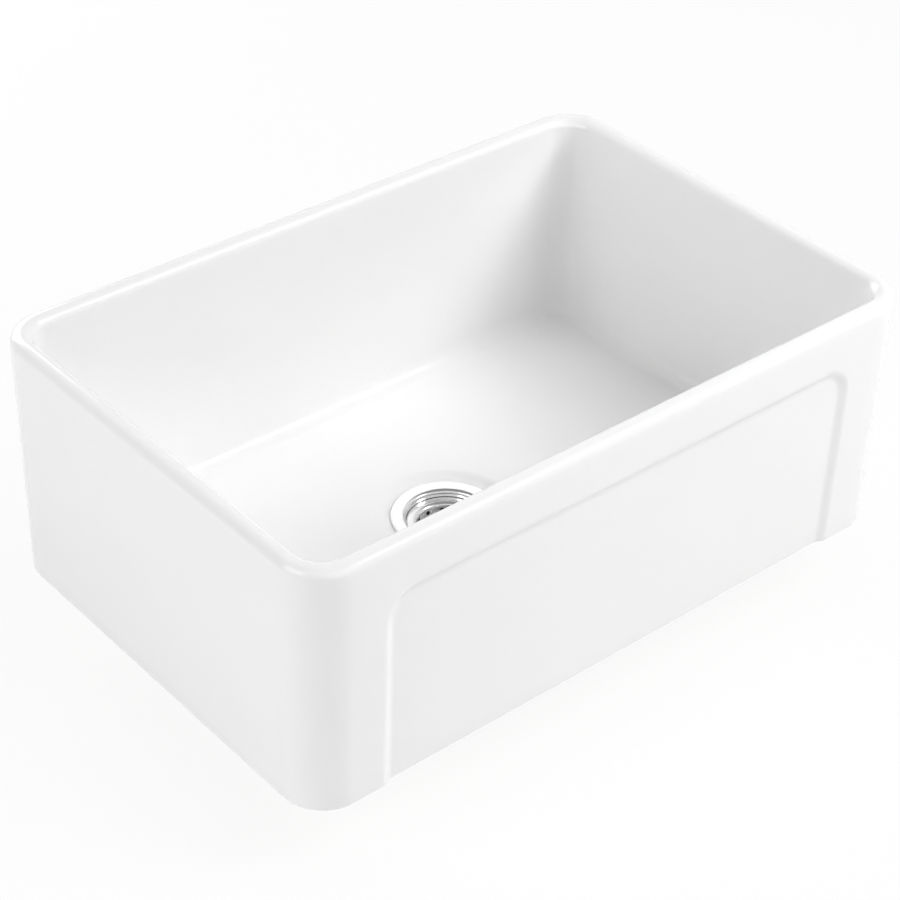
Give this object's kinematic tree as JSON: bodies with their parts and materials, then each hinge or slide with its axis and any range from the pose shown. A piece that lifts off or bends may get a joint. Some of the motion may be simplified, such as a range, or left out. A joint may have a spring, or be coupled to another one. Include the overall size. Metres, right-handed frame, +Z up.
{
  "type": "butler sink",
  "caption": "Deep rectangular glazed ceramic kitchen sink with a rolled rim, a soft-stepped recessed apron panel and a stainless basket waste with a lift-out strainer.",
  "frame": {"origin": "middle of the flat underside of the casting, where it rests on its rails or worktop", "axes": "+X to the right along the apron, +Y from the apron to the back, +Z up"},
  "size_m": [0.75, 0.5, 0.3497],
  "materials": {
    "fireclay": "gloss",
    "stainless": "polished",
    "rubber": "matte",
    "moulding": "matte",
    "brass": "satin"
  },
  "bodies": {
    "bowl": {"sink_body": "fireclay", "flange_seal": "rubber", "strainer_cup": "stainless", "outlet_seal": "rubber", "outlet_body": "moulding", "insert_nut": "brass", "screw_washer": "rubber", "clamp_screw": "stainless"},
    "basket": {"basket_shell": "stainless", "guide_bush": "moulding", "detent_ring": "stainless"},
    "stopper": {"stem": "stainless", "knob": "stainless", "stopper_seal": "rubber", "seal_plate": "stainless"}
  },
  "joints": [
    {"name": "basket_lift", "type": "slide", "parent": "bowl", "child": "basket", "axis": [0, 0, 1], "range_m": [0, 0.33]},
    {"name": "stopper_slide", "type": "slide", "parent": "basket", "child": "stopper", "axis": [0, 0, -1], "range_m": [0, 0.01]}
  ]
}
